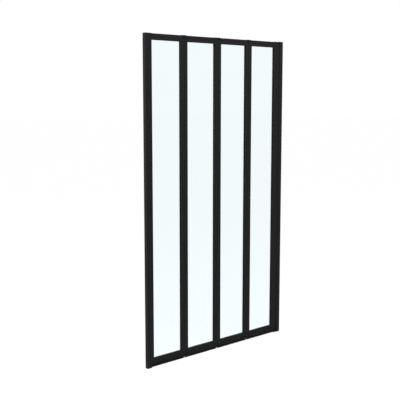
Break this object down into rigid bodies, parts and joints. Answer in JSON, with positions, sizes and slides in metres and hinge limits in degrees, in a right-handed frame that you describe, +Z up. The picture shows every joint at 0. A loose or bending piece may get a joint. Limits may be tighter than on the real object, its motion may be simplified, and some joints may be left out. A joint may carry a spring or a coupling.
{
  "type": "folding bath screen",
  "caption": "Black framed glass bath screen whose leaves fold one in front of the other on corner pivots and swing from a wall channel.",
  "frame": {"origin": "centre of the middle wall-fixing hole, on the face of the wall channel that lies against the wall", "axes": "+X out of the part towards the wall, +Y towards the back of the screen, +Z up; the screen is drawn open and flat, reaching to -X"},
  "size_m": [0.8185, 0.027, 1.4],
  "materials": {
    "coated_aluminium": "matte black powder coat",
    "coated_casting": "matte black powder coat on a light-alloy casting",
    "moulded_black": "moulded black",
    "rubber": "matte black",
    "nylon": "moulded black",
    "screw_steel": "passivated",
    "pin_steel": "ground",
    "clear_glass": "clear polished safety glass"
  },
  "bodies": {
    "wall_frame": {"wall_channel": "coated_aluminium", "channel_cap": "moulded_black", "hinge_post": "coated_aluminium", "post_fixing_screws": "screw_steel", "post_pivot_screws": "screw_steel", "hinge_1_pivot_blocks": "coated_casting", "hinge_1_bushes": "nylon"},
    "leaf_1": {"leaf_1_wall_side_stile": "coated_aluminium", "leaf_1_free_side_stile": "coated_aluminium", "leaf_1_top_rail": "coated_aluminium", "leaf_1_bottom_rail": "coated_aluminium", "leaf_1_glass": "clear_glass", "leaf_1_glazing_gasket": "rubber", "leaf_1_bottom_seal": "rubber", "leaf_1_corner_screws": "screw_steel", "hinge_1_pivot_arms": "coated_casting", "hinge_1_pins": "pin_steel", "hinge_1_fin_seal": "rubber", "hinge_2_pivot_blocks": "coated_casting", "hinge_2_bushes": "nylon"},
    "leaf_2": {"leaf_2_wall_side_stile": "coated_aluminium", "leaf_2_free_side_stile": "coated_aluminium", "leaf_2_top_rail": "coated_aluminium", "leaf_2_bottom_rail": "coated_aluminium", "leaf_2_glass": "clear_glass", "leaf_2_glazing_gasket": "rubber", "leaf_2_bottom_seal": "rubber", "leaf_2_corner_screws": "screw_steel", "hinge_2_pivot_arms": "coated_casting", "hinge_2_pins": "pin_steel", "hinge_2_fin_seal": "rubber", "hinge_3_pivot_blocks": "coated_casting", "hinge_3_bushes": "nylon"},
    "leaf_3": {"leaf_3_wall_side_stile": "coated_aluminium", "leaf_3_free_side_stile": "coated_aluminium", "leaf_3_top_rail": "coated_aluminium", "leaf_3_bottom_rail": "coated_aluminium", "leaf_3_glass": "clear_glass", "leaf_3_glazing_gasket": "rubber", "leaf_3_bottom_seal": "rubber", "leaf_3_corner_screws": "screw_steel", "hinge_3_pivot_arms": "coated_casting", "hinge_3_pins": "pin_steel", "hinge_3_fin_seal": "rubber", "hinge_4_pivot_blocks": "coated_casting", "hinge_4_bushes": "nylon"},
    "leaf_4": {"leaf_4_wall_side_stile": "coated_aluminium", "leaf_4_free_side_stile": "coated_aluminium", "leaf_4_top_rail": "coated_aluminium", "leaf_4_bottom_rail": "coated_aluminium", "leaf_4_glass": "clear_glass", "leaf_4_glazing_gasket": "rubber", "leaf_4_bottom_seal": "rubber", "leaf_4_corner_screws": "screw_steel", "hinge_4_pivot_arms": "coated_casting", "hinge_4_pins": "pin_steel", "hinge_4_fin_seal": "rubber", "free_end_cap": "moulded_black", "free_end_foot": "moulded_black", "free_end_plugs": "moulded_black"}
  },
  "joints": [
    {"name": "wall_swing", "type": "hinge", "parent": "wall_frame", "child": "leaf_1", "pos_m": [-0.0385, 0.009, 0], "axis": [0, 0, -1], "range_deg": [0, 90]},
    {"name": "fold_1_2", "type": "hinge", "parent": "leaf_1", "child": "leaf_2", "pos_m": [-0.2255, -0.009, 0], "axis": [0, 0, 1], "range_deg": [0, 180]},
    {"name": "fold_2_3", "type": "hinge", "parent": "leaf_2", "child": "leaf_3", "pos_m": [-0.4165, 0.009, 0], "axis": [0, 0, -1], "range_deg": [0, 180]},
    {"name": "fold_3_4", "type": "hinge", "parent": "leaf_3", "child": "leaf_4", "pos_m": [-0.6115, -0.009, 0], "axis": [0, 0, 1], "range_deg": [0, 180]}
  ],
  "couplings": [
    {"joint": "fold_2_3", "follows": "fold_1_2", "ratio": 1},
    {"joint": "fold_3_4", "follows": "fold_1_2", "ratio": 1}
  ]
}
